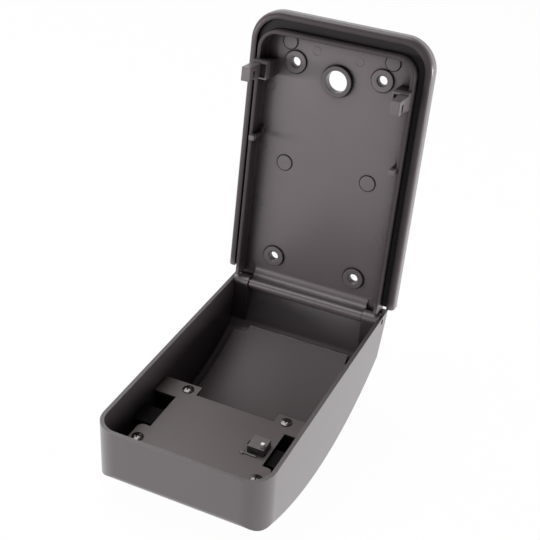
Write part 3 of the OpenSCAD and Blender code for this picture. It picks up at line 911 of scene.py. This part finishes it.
@dataclass
class EjectorMarks:
    """Faint rings that the mould's pins leave on the tray floor, set out by Geometry Nodes."""

    floor: float = -3.0 * MM
    radius: float = 2.2 * MM
    bead: float = 0.16 * MM
    bead_sink: float = 0.55
    ring_steps: int = 40
    bead_steps: int = 8
    at: list[tuple[float, float]] = field(
        default_factory=lambda: [
            (-12.9, 61.8), (10.2, 61.0), (-35.1, 39.5), (-36.4, 6.5),
            (-35.4, -25.7), (-35.1, -62.0), (33.7, -28.0), (35.0, -64.8),
        ]
    )

    def tree(self) -> bpy.types.NodeTree:
        """Builds the node tree: a thin ring on every point.

        Returns:
            The geometry node group.
        """
        group = bpy.data.node_groups.new("ejector_rings", "GeometryNodeTree")
        face = group.interface
        face.new_socket("Points", in_out="INPUT", socket_type="NodeSocketGeometry")
        for name in ("Ring radius", "Bead radius"):
            face.new_socket(name, in_out="INPUT", socket_type="NodeSocketFloat")
        face.new_socket("Finish", in_out="INPUT", socket_type="NodeSocketMaterial")
        face.new_socket("Rings", in_out="OUTPUT", socket_type="NodeSocketGeometry")
        nodes, links = group.nodes, group.links
        given = nodes.new("NodeGroupInput")
        result = nodes.new("NodeGroupOutput")
        ring = nodes.new("GeometryNodeCurvePrimitiveCircle")
        ring.inputs["Resolution"].default_value = self.ring_steps
        bead = nodes.new("GeometryNodeCurvePrimitiveCircle")
        bead.inputs["Resolution"].default_value = self.bead_steps
        tube = nodes.new("GeometryNodeCurveToMesh")
        spread = nodes.new("GeometryNodeInstanceOnPoints")
        spread.inputs["Rotation"].default_value = (math.pi / 2, 0.0, 0.0)
        whole = nodes.new("GeometryNodeRealizeInstances")
        paint = nodes.new("GeometryNodeSetMaterial")
        links.new(given.outputs["Ring radius"], ring.inputs["Radius"])
        links.new(given.outputs["Bead radius"], bead.inputs["Radius"])
        links.new(ring.outputs["Curve"], tube.inputs["Curve"])
        links.new(bead.outputs["Curve"], tube.inputs["Profile Curve"])
        links.new(given.outputs["Points"], spread.inputs["Points"])
        links.new(tube.outputs["Mesh"], spread.inputs["Instance"])
        links.new(spread.outputs["Instances"], whole.inputs["Geometry"])
        links.new(whole.outputs["Geometry"], paint.inputs["Geometry"])
        links.new(given.outputs["Finish"], paint.inputs["Material"])
        links.new(paint.outputs["Geometry"], result.inputs["Rings"])
        return group

    def build(self, finishes: Finishes) -> None:
        """Makes the rings as one plain mesh.

        Args:
            finishes: The safe's finishes.
        """
        depth = self.floor + self.bead * self.bead_sink
        points = bpy.data.meshes.new("ejector_points")
        points.from_pydata([(x * MM, depth, z * MM) for x, z in self.at], [], [])
        holder = bpy.data.objects.new("ejector_points", points)
        bpy.context.scene.collection.objects.link(holder)
        group = self.tree()
        modifier = holder.modifiers.new("rings", "NODES")
        modifier.node_group = group
        sockets = {s.name: s.identifier for s in group.interface.items_tree if s.in_out == "INPUT"}
        coat = finishes.plate
        modifier[sockets["Ring radius"]] = self.radius
        modifier[sockets["Bead radius"]] = self.bead
        modifier[sockets["Finish"]] = coat
        mesh = evaluated_mesh(holder)
        for polygon in mesh.polygons:
            polygon.use_smooth = True
        as_piece("ejector_marks", mesh, "plate", coat)


@dataclass(frozen=True)
class Lamp:
    """One soft box."""

    name: str
    at: tuple[float, float, float]
    aim: tuple[float, float, float]
    size: tuple[float, float]
    power: float

    def build(self) -> None:
        """Adds the area light."""
        data = bpy.data.lights.new(self.name, "AREA")
        data.shape = "RECTANGLE"
        data.size, data.size_y = self.size
        data.energy = self.power
        lamp = bpy.data.objects.new(self.name, data)
        lamp.location = self.at
        toward = Vector(self.aim) - Vector(self.at)
        lamp.rotation_euler = toward.to_track_quat("-Z", "Y").to_euler()
        bpy.context.scene.collection.objects.link(lamp)


@dataclass
class Studio:
    """Pale floor, soft boxes and the camera."""

    eye: tuple[float, float, float] = (0.18116, -0.52288, 0.20475)
    forward: tuple[float, float, float] = (-0.33184, 0.83838, -0.43245)
    up: tuple[float, float, float] = (-0.26350, 0.35779, 0.89585)
    lens: float = 75.212
    sensor: float = 36.0
    clip: float = 0.01
    floor_reach: float = 6.0
    floor_dark: Colour = (0.9, 0.9, 0.9)
    floor_pale: Colour = (0.93, 0.93, 0.93)
    floor_patch: float = 0.4
    white_share: float = 0.86
    seen_share: float = 0.975
    ambient: float = 0.14
    ceiling: Span = (0.25, 0.8)
    ceiling_tone: float = 0.1
    lamps: tuple[Lamp, ...] = (
        Lamp("soft_box_right", (1.1, 0.12, -0.02), (0.0, -0.06, -0.06), (0.7, 0.3), 15.0),
        Lamp("soft_box_front", (-0.95, -0.9, -0.03), (0.0, -0.05, -0.04), (0.8, 0.2), 12.5),
        Lamp("soft_box_top", (-0.6, -0.04, 1.2), (0.0, -0.08, -0.05), (1.3, 1.3), 18.5),
    )

    def seen(self, graph: Graph) -> Wire:
        """Tells the rays that show the background itself: camera, mirror and glass rays.

        Args:
            graph: The node tree that asks.

        Returns:
            1 for such a ray, otherwise 0.
        """
        rays = [
            graph.node("ShaderNodeLightPath", out=name)
            for name in ("Is Camera Ray", "Is Glossy Ray", "Is Transmission Ray")
        ]
        total = rays[0] + rays[1] + rays[2]
        return graph.node("ShaderNodeMath", {"operation": "MINIMUM"}, {0: total, 1: 1.0})

    def world(self) -> None:
        """White where it is seen, darker towards the ceiling, and a low even light elsewhere."""
        world = bpy.data.worlds.new("studio")
        bpy.context.scene.world = world
        graph = Graph(world)
        way = graph.node("ShaderNodeTexCoord", out="Generated")
        height = graph.node("ShaderNodeSeparateXYZ", None, {"Vector": way}, "Z")
        wall = 1.0 - height.step(*self.ceiling) * (1.0 - self.ceiling_tone)
        strength = self.seen(graph) * wall * (1.0 - self.ambient) + self.ambient
        shader = graph.node("ShaderNodeBackground", None, {"Color": WHITE, "Strength": strength})
        graph.node("ShaderNodeOutputWorld", None, {"Surface": shader})

    def floor(self, height: float) -> None:
        """A pale floor that keeps a faint shadow.

        Args:
            height: Where the safe's lowest point lies.
        """
        reach = self.floor_reach
        mesh = bpy.data.meshes.new("studio_floor")
        sides = ((-1, -1), (1, -1), (1, 1), (-1, 1))
        corners = [(x * reach, y * reach, height) for x, y in sides]
        mesh.from_pydata(corners, [], [(0, 1, 2, 3)])
        floor = bpy.data.objects.new("studio_floor", mesh)
        bpy.context.scene.collection.objects.link(floor)
        material = bpy.data.materials.new("pale_floor")
        graph = Graph(material)
        patch = graph.noise(graph.place(), self.floor_patch)
        tone = graph.blend(patch, self.floor_dark, self.floor_pale)
        matt = graph.node("ShaderNodeBsdfDiffuse", None, {"Color": tone})
        glow = graph.node("ShaderNodeEmission", None, {"Color": WHITE, "Strength": 1.0})
        share = self.seen(graph) * (self.seen_share - self.white_share) + self.white_share
        mixed = graph.node("ShaderNodeMixShader", None, {0: share, 1: matt, 2: glow})
        graph.node("ShaderNodeOutputMaterial", None, {"Surface": mixed})
        mesh.materials.append(material)
        floor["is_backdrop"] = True

    def camera(self) -> None:
        """The camera at the photograph's place."""
        data = bpy.data.cameras.new("view")
        data.lens = self.lens
        data.sensor_fit = "HORIZONTAL"
        data.sensor_width = self.sensor
        data.clip_start = self.clip
        camera = bpy.data.objects.new("view", data)
        back = -Vector(self.forward).normalized()
        across = Vector(self.up).cross(back).normalized()
        turn = Matrix((across, back.cross(across), back)).transposed()
        camera.matrix_world = Matrix.Translation(self.eye) @ turn.to_4x4()
        bpy.context.scene.collection.objects.link(camera)
        bpy.context.scene.camera = camera

    def build(self, lowest: float) -> None:
        """Sets the whole stage.

        Args:
            lowest: Height of the safe's lowest point.
        """
        bpy.context.scene.view_settings.view_transform = "Standard"
        self.camera()
        self.world()
        self.floor(lowest)
        for lamp in self.lamps:
            lamp.build()


def main() -> None:
    """Builds the safe's looks in order."""
    logging.basicConfig(level=logging.INFO, format="%(name)s: %(message)s")
    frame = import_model()
    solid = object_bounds()
    hinge = Hinge.of(frame)
    Studio().build(solid[0][2])
    finishes = Finishes()
    finishes.dress(frame)
    NumberWheels().build(frame, hinge, finishes)
    ChangeMarks().build(hinge, finishes)
    EjectorMarks().build(finishes)


if __name__ == "__main__":
    main()
